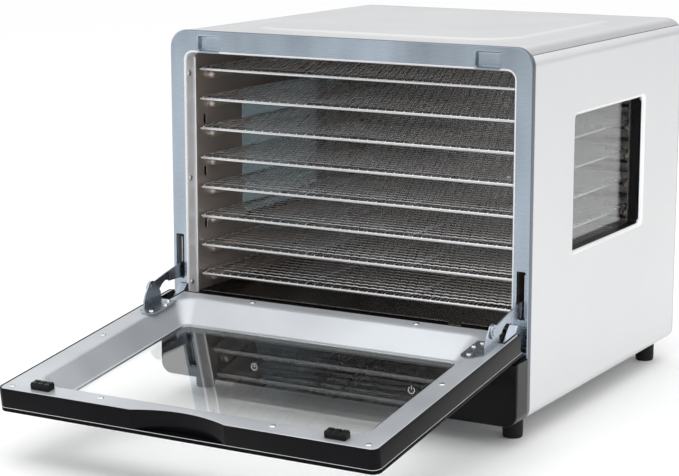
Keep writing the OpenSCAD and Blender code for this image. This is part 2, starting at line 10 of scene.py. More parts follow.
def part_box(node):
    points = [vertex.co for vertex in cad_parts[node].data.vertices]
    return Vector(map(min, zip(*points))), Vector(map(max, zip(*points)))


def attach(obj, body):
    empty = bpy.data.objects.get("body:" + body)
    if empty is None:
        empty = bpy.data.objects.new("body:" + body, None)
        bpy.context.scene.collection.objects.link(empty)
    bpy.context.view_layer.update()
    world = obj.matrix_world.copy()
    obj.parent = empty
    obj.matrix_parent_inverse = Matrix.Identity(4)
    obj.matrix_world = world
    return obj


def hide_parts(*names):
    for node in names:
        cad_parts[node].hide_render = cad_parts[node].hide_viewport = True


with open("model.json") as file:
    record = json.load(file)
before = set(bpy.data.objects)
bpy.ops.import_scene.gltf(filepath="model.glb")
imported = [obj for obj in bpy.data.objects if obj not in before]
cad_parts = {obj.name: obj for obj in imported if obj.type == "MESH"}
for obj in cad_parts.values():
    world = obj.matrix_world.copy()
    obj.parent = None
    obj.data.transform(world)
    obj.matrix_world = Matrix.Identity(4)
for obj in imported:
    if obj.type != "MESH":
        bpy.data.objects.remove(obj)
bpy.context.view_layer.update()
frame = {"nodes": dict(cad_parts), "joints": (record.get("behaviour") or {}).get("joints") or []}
nodes = frame["nodes"]

# ---------------------------------------------------------------- sizes, in millimetres

MM = 0.001


def box_mm(node):
    """Lowest and highest corner of a CAD node, in millimetres."""
    lo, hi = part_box(node)
    return lo / MM, hi / MM


def joint(name):
    return next(j for j in frame["joints"] if j["name"] == name)


frame_lo, frame_hi = box_mm("front_frame")
FRONT = frame_lo.y
HALF = frame_hi.x
TOP = frame_hi.z
BOTTOM = frame_lo.z
REAR = box_mm("rear_panel")[0].y
TOP_R = 18.0
BOTTOM_R = 12.0
SHEET = 0.8
SKIN_INSET = 0.4
SEAM_ANGLE = math.radians(37)
SEAM_HALF_GAP = math.radians(0.9)
RIM_DEPTH = 6.0
FLANGE_DEPTH = frame_hi.y - FRONT
OPEN_HALF = 181.5
OPEN_Z0 = 98.5
OPEN_Z1 = 352.5
OPEN_R = 8.0
LATCH_X = 154.0
LATCH_Z = 362.0
POCKET_HALF_W = 12.5
POCKET_HALF_H = 7.0
POCKET_DEPTH = 7.0
SLOT_X = 191.5
SLOT_HALF_W = 4.5
SLOT_Z0 = 120.5
SLOT_Z1 = 166.0
SLOT_DEPTH = 4.0
WINDOW_HALF = 89.0
WINDOW_Z0 = 168.5
WINDOW_Z1 = 301.0
WINDOW_R = 4.0
WINDOW_LIP = 3.4
SCREW_R = 3.0
SCREW_H = 1.4
DOOR_SCREW_H = 1.1

door_joint = joint("door_hinge")
PIVOT = Vector(door_joint["pos_m"]) / MM
OPEN_ANGLE = math.radians(door_joint["range_deg"][1])
SWING = (
    Matrix.Translation(PIVOT) @ Matrix.Rotation(OPEN_ANGLE, 4, "X") @ Matrix.Translation(-PIVOT)
)
DOOR_HALF = 198.0
DOOR_FACE = FRONT - 2.0
DOOR_OUT = FRONT - 24.5
DOOR_TOP = 375.0
DOOR_BASE = 92.3
DOOR_R = 8.0
DOOR_LOW_R = 4.0
LUG_NOTCH_X0 = 181.3
LUG_NOTCH_X1 = 191.7
LUG_NOTCH_TOP = 118.5
GLASS_BASE = 89.5
GLASS_T = 4.0
GLASS_BORDER = 3.0
LIP_HALF = 174.0
LIP_Z0 = 108.0
LIP_Z1 = 352.5
LIP_R = 22.0
HOLE_HALF = 155.0
HOLE_Z0 = 133.5
HOLE_Z1 = 332.5
HOLE_R = 10.0
SCOOP_HALF = 50.0
SCOOP_DEPTH = 9.5
PANEL_TOP = box_mm("control_face")[1].z
PANEL_FACE = box_mm("control_face")[0].y

# ---------------------------------------------------------------- outlines and meshes


def arc(cx, cy, r, a0, a1, steps):
    """Points on an arc, angles in degrees."""
    turn = [math.radians(a0 + (a1 - a0) * i / steps) for i in range(steps + 1)]
    return [(cx + r * math.cos(a), cy + r * math.sin(a)) for a in turn]


def round_rect(u0, v0, u1, v1, r, steps=8, r_low=None):
    """Rounded rectangle, anticlockwise, with r_low as the radius of its lower corners."""
    low = r if r_low is None else r_low
    return (
        arc(u1 - low, v0 + low, low, -90, 0, steps)
        + arc(u1 - r, v1 - r, r, 0, 90, steps)
        + arc(u0 + r, v1 - r, r, 90, 180, steps)
        + arc(u0 + low, v0 + low, low, 180, 270, steps)
    )


def offset(points, d):
    """Moves a closed anticlockwise outline inwards by d, or outwards where d is negative."""
    count = len(points)
    moved = []
    for i, (x, y) in enumerate(points):
        ax, ay = points[i - 1]
        bx, by = points[(i + 1) % count]
        la = math.hypot(x - ax, y - ay) or 1e-9
        lb = math.hypot(bx - x, by - y) or 1e-9
        na = (-(y - ay) / la, (x - ax) / la)
        nb = (-(by - y) / lb, (bx - x) / lb)
        k = d / max(0.35, 1 + na[0] * nb[0] + na[1] * nb[1])
        moved.append((x + k * (na[0] + nb[0]), y + k * (na[1] + nb[1])))
    return moved


def in_front(u, v, w):
    """Outline in the X-Z plane, at depth w along Y."""
    return Vector((u, w, v)) * MM


def beside(u, v, w):
    """Outline in the Y-Z plane, at place w along X."""
    return Vector((w, u, v)) * MM


def in_door(u, v, w):
    """Outline in the plane of the shut door, swung down to its open angle."""
    return (SWING @ Vector((u, w, v))) * MM


ROLL_STEPS = 5
FLAT_MARGIN = 0.15


def roll(r, d0, sign):
    """Quarter round edge as (inset, depth): from r inside the edge at d0, over to the edge."""
    turn = [math.pi / 2 * i / ROLL_STEPS for i in range(ROLL_STEPS + 1)]
    return [(r * (1 - math.sin(a)), d0 + sign * r * (1 - math.cos(a))) for a in turn]


def spoke(side, up, a):
    """Unit vector at angle a in the plane of side and up."""
    return side * math.cos(a) + up * math.sin(a)


class Shape:
    """A mesh that is put together from lofts, filled outlines and tubes."""

    def __init__(self, place=in_front):
        self.bm = bmesh.new()
        self.place = place

    def ring(self, points, w):
        return [self.bm.verts.new(self.place(u, v, w)) for u, v in points]

    def verts(self, points):
        return [self.bm.verts.new(Vector(p) * MM) for p in points]

    def skin(self, rings, closed=True, caps=()):
        """Faces between rows of vertices; caps names the rows that are filled."""
        for a, b in zip(rings, rings[1:]):
            count = len(a)
            for i in range(count if closed else count - 1):
                j = (i + 1) % count
                self.bm.faces.new((a[i], a[j], b[j], b[i]))
        for k in caps:
            self.bm.faces.new(rings[k])

    def edge(self, outline, steps):
        """A loft whose rings are the outline moved inwards, as a list of (inset, depth)."""
        self.skin([self.ring(offset(outline, inset), w) for inset, w in steps])

    def fill(self, loops, w, margin=0.0):
        """Flat face inside the first loop and outside the others; a margin keeps its shading flat."""
        if margin:
            inner = [offset(loop, -margin if k else margin) for k, loop in enumerate(loops)]
            for loop, moved in zip(loops, inner):
                self.skin([self.ring(loop, w), self.ring(moved, w)])
            loops = inner
        flat = [[Vector((u, v, 0)) for u, v in loop] for loop in loops]
        verts = [v for loop in loops for v in self.ring(loop, w)]
        for tri in tessellate_polygon(flat):
            self.bm.faces.new([verts[i] for i in tri])

    def slab(self, outline, w0, w1, r, holes=()):
        """Solid plate from depth w0 to w1 with rounded edges."""
        front = roll(r, w0, 1)
        back = [(inset, w1 - (w - w0)) for inset, w in reversed(front)]
        self.edge(outline, front + back)
        for hole in holes:
            self.edge(hole, [(-inset, w) for inset, w in front + back])
        for w in (w0, w1):
            self.fill([offset(outline, r)] + [offset(h, -r) for h in holes], w, FLAT_MARGIN)

    def lathe(self, centre, axis, profile, steps=32):
        """Turned solid: profile is a list of (distance along axis, radius)."""
        axis = Vector(axis).normalized()
        side = axis.orthogonal().normalized()
        up = axis.cross(side)
        rings = []
        for along, radius in profile:
            row = []
            for i in range(steps):
                a = 2 * math.pi * i / steps
                row.append(Vector(centre) + axis * along + spoke(side, up, a) * radius)
            rings.append(self.verts(row))
        self.skin(rings, caps=(0, -1))

    def tube(self, points, radius, sides=12, closed=False):
        """Round rod along points in millimetres; every bend lies in a level plane."""
        rings = []
        count = len(points)
        for i, p in enumerate(points):
            before = points[i - 1] if i or closed else p
            after = points[(i + 1) % count] if i < count - 1 or closed else p
            along = (Vector(after) - Vector(before)).normalized()
            side = Vector((-along.y, along.x, 0)).normalized()
            up = along.cross(side)
            turn = [2 * math.pi * (k + 0.5) / sides for k in range(sides)]
            rings.append(self.verts([Vector(p) + spoke(side, up, a) * radius for a in turn]))
        self.skin(rings + rings[:1] if closed else rings, caps=() if closed else (0, -1))

    def piece(self, name, body, material, slot, stands_for=(), face_to=None, thick=0.0, sharp=32):
        """Ends the mesh and makes it a piece of the object."""
        bmesh.ops.remove_doubles(self.bm, verts=self.bm.verts, dist=1e-6)
        bmesh.ops.dissolve_degenerate(self.bm, edges=self.bm.edges, dist=1e-7)
        bmesh.ops.recalc_face_normals(self.bm, faces=self.bm.faces)
        if face_to is not None:
            total = Vector((0, 0, 0))
            for f in self.bm.faces:
                total += f.normal * f.calc_area()
            if total.dot(Vector(face_to)) < 0:
                bmesh.ops.reverse_faces(self.bm, faces=self.bm.faces)
        mesh = bpy.data.meshes.new(name)
        self.bm.to_mesh(mesh)
        self.bm.free()
        mesh.shade_smooth()
        mesh.set_sharp_from_angle(angle=math.radians(sharp))
        mesh.materials.append(material)
        obj = bpy.data.objects.new(name, mesh)
        bpy.context.scene.collection.objects.link(obj)
        if thick:
            wall = obj.modifiers.new("wall", "SOLIDIFY")
            wall.thickness = thick * MM
            wall.offset = -1
        return join_part(obj, body, stands_for)


def join_part(obj, body, stands_for=()):
    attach(obj, body)
    if stands_for:
        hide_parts(*stands_for)
    return obj


# ---------------------------------------------------------------- materials


class Finish:
    """A Principled material whose roughness, colour and relief come from noise."""

    def __init__(self, name, color, roughness, metallic=0.0, edge=0.0, **sockets):
        self.mat = bpy.data.materials.new(name)
        self.mat.use_nodes = True
        self.tree = self.mat.node_tree
        self.shader = self.tree.nodes["Principled BSDF"]
        self.color = color
        self.base = roughness
        self.edge = edge
        self.shader.inputs["Base Color"].default_value = (*color, 1)
        self.shader.inputs["Roughness"].default_value = roughness
        self.shader.inputs["Metallic"].default_value = metallic
        for key, value in sockets.items():
            self.shader.inputs[key.replace("_", " ")].default_value = value
        self.coords = self.node("ShaderNodeTexCoord").outputs["Object"]
        self.relief = None

    def node(self, kind, **inputs):
        made = self.tree.nodes.new(kind)
        for key, value in inputs.items():
            self.feed(made.inputs[key.replace("_", " ")], value)
        return made

    def feed(self, socket, value):
        if isinstance(value, bpy.types.NodeSocket):
            self.tree.links.new(value, socket)
        else:
            socket.default_value = value

    def noise(self, per_metre, detail=3.0, rough=0.55):
        """Noise with its own frequency along each axis."""
        place = self.node("ShaderNodeMapping", Vector=self.coords, Scale=per_metre)
        made = self.node(
            "ShaderNodeTexNoise", Vector=place.outputs[0], Scale=1.0, Detail=detail, Roughness=rough
        )
        return made.outputs["Fac"]

    def between(self, value, lo, hi, from_lo=0.3, from_hi=0.7):
        made = self.node("ShaderNodeMapRange", Value=value)
        limits = {"From Min": from_lo, "From Max": from_hi, "To Min": lo, "To Max": hi}
        for key, number in limits.items():
            made.inputs[key].default_value = number
        return made.outputs[0]

    def vary_roughness(self, value, spread):
        rough = self.between(value, self.base - spread, self.base + spread)
        self.feed(self.shader.inputs["Roughness"], rough)
        return self

    def vary_color(self, value, dark, light=1.0):
        ramp = self.node("ShaderNodeMix")
        ramp.data_type = "RGBA"
        self.feed(ramp.inputs[0], self.between(value, 0.0, 1.0))
        ramp.inputs[6].default_value = (*[c * dark for c in self.color], 1)
        ramp.inputs[7].default_value = (*[min(1.0, c * light) for c in self.color], 1)
        self.feed(self.shader.inputs["Base Color"], ramp.outputs[2])
        return self

    def bump(self, value, strength, height):
        made = self.node("ShaderNodeBump", Height=value, Strength=strength, Distance=height)
        if self.relief is not None:
            self.feed(made.inputs["Normal"], self.relief)
        self.relief = made.outputs[0]
        return self

    def end(self):
        if self.edge:
            soft = self.node("ShaderNodeBevel", Radius=self.edge * MM)
            soft.samples = 4
            bumps = [n for n in self.tree.nodes if n.type == "BUMP"]
            first = next((n for n in bumps if not n.inputs["Normal"].is_linked), None)
            if first:
                self.feed(first.inputs["Normal"], soft.outputs[0])
            else:
                self.relief = soft.outputs[0]
        if self.relief is not None:
            self.feed(self.shader.inputs["Normal"], self.relief)
        return self.mat


GRAIN_DETAIL = 4.0
GRAIN_ROUGH = 0.62
GRAIN_HEIGHT = 0.0003
PORE_HEIGHT = 0.0001


def brushed(
    name, color, roughness, grain, edge=0.0, depth=0.10, cloud=(9, 9, 9), shade=0.93, **sockets
):
    """Steel with a fine brush grain and a faint cloud; grain and cloud are frequencies per metre."""
    made = Finish(name, color, roughness, 1.0, edge, **sockets)
    lines = made.noise(grain, GRAIN_DETAIL, GRAIN_ROUGH)
    made.vary_roughness(lines, min(0.07, depth))
    made.vary_color(made.noise(cloud, 2.0), shade, 1.05)
    made.bump(lines, depth, GRAIN_HEIGHT)
    return made.end()


def moulded(name, color, roughness, edge=0.0, pores=2600, depth=0.12, **sockets):
    """Plastic or rubber with a fine spark-eroded surface."""
    made = Finish(name, color, roughness, 0.0, edge, **sockets)
    fine = made.noise((pores, pores, pores), 2.0)
    wear = made.noise((22, 22, 22), 4.0, 0.6)
    made.vary_roughness(wear, 0.06)
    made.vary_color(wear, 0.85, 1.15)
    made.bump(fine, depth, PORE_HEIGHT)
    return made.end()


def clear_glass(name, tint, ior):
    """Glass with faint smears that lets the light of lamps and sky through to what is behind it."""
    made = Finish(name, tint, 0.0, 0.0, Transmission_Weight=1.0, IOR=ior)
    smear = made.noise((14, 14, 14), 5.0, 0.7)
    made.feed(made.shader.inputs["Roughness"], made.between(smear, 0.0, 0.02, 0.52, 0.8))
    mix = made.node("ShaderNodeMixShader")
    ghost = made.node("ShaderNodeBsdfTransparent")
    ghost.inputs[0].default_value = (*[0.5 + c / 2 for c in tint], 1)
    path = made.node("ShaderNodeLightPath")
    made.feed(mix.inputs[0], path.outputs["Is Shadow Ray"])
    made.feed(mix.inputs[1], made.shader.outputs[0])
    made.feed(mix.inputs[2], ghost.outputs[0])
    out = next(n for n in made.tree.nodes if n.type == "OUTPUT_MATERIAL")
    made.feed(out.inputs["Surface"], mix.outputs[0])
    return made.end()


def cover_steel():
    """Brushed top cover whose rounded sides carry a painted shade band, darker towards the seams."""
    # painted shade: towards the seams the colour is multiplied down to a darker grey, a shaded band
    # over the rounded sides
    painted_shade_start, painted_shade_end = 0.183, 0.192
    painted_shade_tone = (0.62, 0.62, 0.63, 1)
    made = Finish("top_cover_finish", (0.80, 0.80, 0.80), 0.26, 1.0)
    lines = made.noise(ALONG_X, GRAIN_DETAIL, GRAIN_ROUGH)
    made.vary_roughness(lines, 0.012)
    made.vary_color(made.noise((9, 9, 9), 2.0), 0.95, 1.04)
    made.bump(lines, 0.012, GRAIN_HEIGHT)
    axes = made.node("ShaderNodeSeparateXYZ", Vector=made.coords)
    across = made.node("ShaderNodeMath", Value=axes.outputs["X"])
    across.operation = "ABSOLUTE"
    shade = made.node("ShaderNodeMix")
    shade.data_type = "RGBA"
    shade.blend_type = "MULTIPLY"
    made.feed(shade.inputs[0], made.between(across.outputs[0], 0.0, 1.0, painted_shade_start, painted_shade_end))
    paint = made.shader.inputs["Base Color"].links[0].from_socket
    made.feed(shade.inputs[6], paint)
    shade.inputs[7].default_value = painted_shade_tone
    made.feed(made.shader.inputs["Base Color"], shade.outputs[2])
    return made.end()


def satin_paint():
    """Light grey side panels with a faint orange-peel relief."""
    made = Finish("side_skin_finish", (0.69, 0.695, 0.70), 0.3, 0.4)
    cloud = made.noise((6, 6, 6), 3.0)
    made.vary_roughness(cloud, 0.018)
    made.vary_color(cloud, 0.97, 1.02)
    made.bump(made.noise((2400, 2400, 2400), 2.0), 0.01, PORE_HEIGHT)
    return made.end()


# grain frequencies per metre; the grain runs along the axis in the name
ALONG_X = (7, 1100, 1100)
ALONG_Y = (1100, 7, 1100)
ALONG_Z = (1100, 1100, 7)
MAT = {
    "top": cover_steel(),
    "side": satin_paint(),
    "frame": brushed(
        "front_frame_finish",
        (0.42, 0.49, 0.56),
        0.26,
        ALONG_X,
        depth=0.05,
        cloud=(16, 16, 5),
        shade=0.62,
    ),
    "door": brushed(
        "door_panel_finish",
        (0.54, 0.565, 0.595),
        0.32,
        (7, 1100, 7),
        depth=0.02,
        cloud=(7, 12, 7),
        shade=0.8,
        Metallic=0.45,
    ),
    # the opening flange is the frame's steel coloured far brighter: a painted highlight along the
    # opening edge
    "flange": brushed(
        "opening_flange_painted_highlight_finish", (0.84, 0.84, 0.85), 0.4, ALONG_X, depth=0.02, Metallic=0.4
    ),
    # the turned rim is the frame's steel coloured near black: painted shade where the frame meets the
    # cover
    "rim": brushed("frame_rim_painted_shade_finish", (0.16, 0.18, 0.21), 0.3, ALONG_X, depth=0.02),
    # near white for the window lips and liner hems: a painted highlight on edges of darker sheet
    "lip": brushed("edge_painted_highlight_finish", (0.97, 0.97, 0.97), 0.5, ALONG_Y, depth=0.01),
    # liner steel tinted warm: the warm tint is a painted reflection, the steel itself is grey
    "liner": brushed(
        "liner_finish_with_painted_reflection",
        (0.56, 0.49, 0.44),
        0.28,
        ALONG_Y,
        edge=0.5,
        depth=0.006,
        cloud=(8, 8, 8),
        shade=0.8,
        Metallic=0.7,
    ),
    "chamber": brushed("chamber_floor_finish", (0.30, 0.27, 0.25), 0.2, ALONG_X, 0.5, 0.015),
    "rear": brushed("rear_panel_finish", (0.62, 0.62, 0.63), 0.42, ALONG_Z, edge=0.4),
    "wire": brushed("tray_wire_finish", (0.62, 0.62, 0.63), 0.2, (90, 90, 90), depth=0.03),
    "cloth": brushed("tray_cloth_finish", (0.9, 0.9, 0.9), 0.16, (300, 300, 300), depth=0.02),
    "zinc": brushed("hardware_finish", (0.40, 0.44, 0.50), 0.3, (220, 220, 220), 0.35, 0.12),
    "lug": brushed("lug_finish", (0.36, 0.40, 0.46), 0.38, (220, 220, 220), 0.6, 0.08),
    "screw": brushed("screw_finish", (0.66, 0.67, 0.69), 0.18, (400, 400, 400), depth=0.04),
    "motor": brushed("motor_finish", (0.30, 0.31, 0.33), 0.45, ALONG_Z, edge=0.6),
    "heater": brushed("heater_finish", (0.34, 0.25, 0.19), 0.42, (60, 60, 60), depth=0.1),
    "gloss": moulded(
        "gloss_black_finish", (0.004, 0.004, 0.0045), 0.08, 0.6, 700, 0.0, Specular_IOR_Level=0.12
    ),
    "door_rim": moulded(
        "door_rim_finish", (0.005, 0.005, 0.006), 0.2, 0.5, 900, 0.0, Specular_IOR_Level=0.07
    ),
    "matt": moulded("black_plastic_finish", (0.006, 0.006, 0.0065), 0.34, 0.4, Specular_IOR_Level=0.15),
    "housing": moulded(
        "panel_housing_finish", (0.012, 0.012, 0.013), 0.26, 0.6, 900, 0.04, Specular_IOR_Level=0.25
    ),
    "rubber": moulded(
        "rubber_finish", (0.01, 0.01, 0.011), 0.62, 0.5, 1500, 0.3, Specular_IOR_Level=0.2
    ),
    "print": moulded(
        "border_print_finish", (0.004, 0.004, 0.005), 0.2, 0.0, 900, 0.0, Specular_IOR_Level=0.03
    ),
    "icon": moulded("icon_print_finish", (0.92, 0.9, 0.88), 0.4, 0.0, 1400, 0.05),
    "board": moulded("circuit_board_finish", (0.02, 0.12, 0.06), 0.4, 0.3, 500, 0.3),
    "door_glass": clear_glass("door_glass_finish", (0.97, 0.985, 0.98), 1.6),
    "window_glass": clear_glass("window_glass_finish", (0.86, 0.89, 0.89), 1.46),
    # left window glass tinted near black: painted shade, the right window glass is clear
    "painted_shade_glass": clear_glass("left_window_painted_shade_glass", (0.10, 0.13, 0.14), 1.46),
}

# ---------------------------------------------------------------- camera, light and stage


# camera in metres and radians
CAMERA_PLACE = Vector((0.9601, -1.8704, 0.5548))
CAMERA_YAW = 0.5211
CAMERA_PITCH = 0.1914
CAMERA_LENS = 107.0
FLOOR_REACH = 9.0


def aim(obj, target):
    way = Vector(target) - obj.location
    obj.rotation_mode = "QUATERNION"
    obj.rotation_quaternion = way.to_track_quat("-Z", "Y")


def make_camera():
    data = bpy.data.cameras.new("camera")
    data.lens = CAMERA_LENS
    data.sensor_width = 36.0
    data.clip_start = 0.05
    cam = bpy.data.objects.new("camera", data)
    bpy.context.scene.collection.objects.link(cam)
    cam.location = CAMERA_PLACE
    level = math.cos(CAMERA_PITCH)
    ahead = (-math.sin(CAMERA_YAW) * level, math.cos(CAMERA_YAW) * level, -math.sin(CAMERA_PITCH))
    aim(cam, cam.location + Vector(ahead))
    bpy.context.scene.camera = cam


def area_light(name, place, target, size, power, color=(1, 1, 1)):
    data = bpy.data.lights.new(name, "AREA")
    data.shape = "RECTANGLE"
    data.size, data.size_y = size
    data.energy = power
    data.color = color
    lamp = bpy.data.objects.new(name, data)
    bpy.context.scene.collection.objects.link(lamp)
    lamp.location = place
    aim(lamp, target)


def make_floor():
    mesh = bpy.data.meshes.new("floor")
    reach = FLOOR_REACH
    corners = [(-reach, -reach, 0), (reach, -reach, 0), (reach, reach, 0), (-reach, reach, 0)]
    mesh.from_pydata(corners, [], [(0, 1, 2, 3)])
    floor = bpy.data.objects.new("floor", mesh)
    bpy.context.scene.collection.objects.link(floor)
    paper = Finish("floor_paper", (0.97, 0.97, 0.97), 0.75)
    paper.bump(paper.noise((300, 300, 300), 2.0), 0.03, 0.0002)
    mesh.materials.append(paper.end())


def make_sky():
    """Pale studio sky that darkens towards the horizon."""
    world = bpy.data.worlds.new("studio")
    world.use_nodes = True
    bpy.context.scene.world = world
    tree = world.node_tree
    sky = tree.nodes["Background"]
    coords = tree.nodes.new("ShaderNodeTexCoord")
    split = tree.nodes.new("ShaderNodeSeparateXYZ")
    ramp = tree.nodes.new("ShaderNodeValToRGB")
    tree.links.new(coords.outputs["Generated"], split.inputs[0])
    tree.links.new(split.outputs["Z"], ramp.inputs[0])
    tree.links.new(ramp.outputs[0], sky.inputs["Color"])
    stops = ramp.color_ramp.elements
    stops[0].position, stops[0].color = 0.0, (0.30, 0.31, 0.33, 1)
    stops[1].position, stops[1].color = 0.5, (1.05, 1.05, 1.05, 1)
    low = stops.new(0.14)
    low.color = (0.80, 0.81, 0.82, 1)
    sky.inputs["Strength"].default_value = 1.0


def make_lights():
    area_light("key_top", (0.1, -0.5, 1.9), (0, 0, 0.1), (2.2, 1.6), 12)
    area_light("fill_left", (-1.9, -0.9, 1.1), (0, -0.1, 0.2), (1.2, 1.6), 5, (0.96, 0.98, 1.0))
    area_light("side_right", (2.3, 0.3, 1.0), (0.1, 0, 0.2), (1.4, 1.4), 3)
    area_light("front_low", (0.2, -2.3, 1.2), (0, -0.1, 0.2), (1.6, 0.6), 1)


make_camera()
make_floor()
make_sky()
make_lights()
bpy.context.scene.view_settings.view_transform = "Standard"

# ---------------------------------------------------------------- outer case


def steps_between(stops):
    """Positions from a list of (end, step), starting at the first end."""
    values = [stops[0][0]]
    for end, step in stops[1:]:
        start = values[-1]
        count = max(1, round((end - start) / step))
        values += [start + (end - start) * i / count for i in range(1, count + 1)]
    return values


EMBOSS_HALF = 145.0
EMBOSS_Y = 5.0
EMBOSS_R = 48.0
EMBOSS_H = 1.2
EMBOSS_SLOPE = 6.5
COARSE_STEP = 9.0
FINE_STEP = 2.6
# where the fine steps start and end, on both sides of the middle of the pressed field
FINE_X = (90.0, 156.0)
FINE_Y = (89.0, 157.0)


def field_steps(lo, hi, centre, band):
    """Positions from lo to hi, close together where the edge of the pressed field runs."""
    near, far = band
    stops = [(lo, 0), (centre - far, COARSE_STEP), (centre - near, FINE_STEP)]
    stops += [(centre + near, COARSE_STEP), (centre + far, FINE_STEP), (hi, COARSE_STEP)]
    return steps_between(stops)


def emboss(x, y):
    """Height of the pressed field of the top cover."""
    qx = abs(x) - EMBOSS_HALF + EMBOSS_R
    qy = abs(y - EMBOSS_Y) - EMBOSS_HALF + EMBOSS_R
    away = math.hypot(max(qx, 0), max(qy, 0)) + min(max(qx, qy), 0) - EMBOSS_R
    t = min(1.0, max(0.0, 0.5 - away / EMBOSS_SLOPE))
    return EMBOSS_H * t * t * (3 - 2 * t)


def end_rolls(y0, y1, r):
    """Rows along Y as (y, inset), with a rounded edge at both ends."""
    start = [(y0 + d, inset) for inset, d in roll(r, 0, 1)]
    return start + [(y1 - (y - y0), inset) for y, inset in reversed(start)]


CASE_Y0 = FRONT + RIM_DEPTH + 1.6
EDGE_R = 0.7


def top_cover():
    """Sheet over the top, down to a seam on each rounded side, with a shallow pressed field."""
    r = TOP_R - SKIN_INSET
    cx = HALF - TOP_R
    cz = TOP - TOP_R
    seam = SEAM_ANGLE + SEAM_HALF_GAP
    turn = [seam + (math.pi / 2 - seam) * i / 12 for i in range(13)]

    def on_round(a, reach):
        n = (math.cos(a), math.sin(a))
        return (cx + reach * n[0], cz + reach * n[1], n)

    right = [on_round(seam, r - EDGE_R)] + [on_round(a, r) for a in turn]
    xs = field_steps(-cx, cx, 0, FINE_X)
    flat = [(x, cz + r, (0, 1)) for x in reversed(xs[1:-1])]
    left = [(-x, z, (-n[0], n[1])) for x, z, n in reversed(right)]
    section = right + flat + left
    rows = end_rolls(CASE_Y0, REAR, EDGE_R)
    half = len(rows) // 2
    ys = field_steps(rows[half - 1][0], rows[half][0], EMBOSS_Y, FINE_Y)
    rows = rows[:half] + [(y, 0) for y in ys[1:-1]] + rows[half:]
    shape = Shape()
    mesh = []
    for y, inset in rows:
        row = [(x - n[0] * inset, y, z - n[1] * inset + emboss(x, y)) for x, z, n in section]
        mesh.append(shape.verts(row))
    shape.skin(mesh, closed=False)
    up = (0, 0, 1)
    shape.piece("top_cover_shell", "cabinet", MAT["top"], "skin_top", ("top_cover",), up, SHEET, 50)


UNDER_X = 185.0
# soft edge of a window opening, as (inset, depth)
LIP_ROLL = [
    (-WINDOW_LIP, 0),
    (-2.9, 0.12),
    (-2.2, 0.5),
    (-1.4, 1.3),
    (-0.7, 2.3),
    (-0.2, 3.1),
    (0, 3.6),
    (0, 5.0),
]


def side_panel(side, name):
    """Outer skin of one side, which turns under the cabinet as far as UNDER_X, and its window lip in a
    near-white painted highlight.
    """
    face = HALF - SKIN_INSET
    cx, cz, r = HALF - TOP_R, TOP - TOP_R, TOP_R - SKIN_INSET
    bx, bz, br = HALF - BOTTOM_R, BOTTOM + BOTTOM_R, BOTTOM_R - SKIN_INSET
    seam = math.degrees(SEAM_ANGLE - SEAM_HALF_GAP)
    upper = arc(cx, cz, r, seam, 0, 10)
    lower = arc(bx, bz, br, 0, -90, 10) + [(UNDER_X, bz - br)]
    shape = Shape(beside)

    def strip(points, mid_x, mid_z):
        """Sheet along Y through points that turn round the middle of their corner."""
        mesh = []
        for y, inset in end_rolls(CASE_Y0, REAR, EDGE_R):
            row = []
            for x, z in points:
                n = Vector((x - mid_x, z - mid_z))
                n = Vector((0, -1)) if n.y < 0 and x < mid_x else n.normalized()
                row.append((side * (x - n.x * inset), y, z - n.y * inset))
            mesh.append(shape.verts(row))
        shape.skin(mesh, closed=False)

    inner = Vector(upper[0]) - Vector((cx, cz))
    upper = [tuple(Vector(upper[0]) - inner.normalized() * EDGE_R)] + upper
    strip(upper, cx, cz)
    strip(lower, bx, bz)
    y0, y1 = CASE_Y0 + EDGE_R, REAR - EDGE_R
    window = round_rect(-WINDOW_HALF, WINDOW_Z0, WINDOW_HALF, WINDOW_Z1, WINDOW_R, 8)
    shape.edge(window, [(-WINDOW_LIP, side * face), (0.05 - WINDOW_LIP, side * (face - SHEET))])
    # the lip is the skin's own sheet in a near-white finish: a painted highlight on its rounded edge
    rim = Shape(beside)
    rim.edge(window, [(inset, side * (face - d)) for inset, d in LIP_ROLL])
    rim.piece(name + "_window_lip", "cabinet", MAT["lip"], "skin_side")
    flat = [(y0, bz), (y1, bz), (y1, cz), (y0, cz)]
    shape.fill([flat, offset(window, -WINDOW_LIP)], side * face, 0.5)
    for ya, yb in ((CASE_Y0, y0), (REAR, y1)):
        flip = 1 if ya < yb else -1
        mesh = []
        for inset, d in roll(EDGE_R, 0, 1):
            x, y = side * (face - inset), ya + flip * d
            mesh.append(shape.verts([(x, y, bz), (x, y, cz)]))
        shape.skin(mesh, closed=False)
    shape.piece(name + "_skin", "cabinet", MAT["side"], "skin_side", (name,), (side, 0, 0), SHEET, 50)


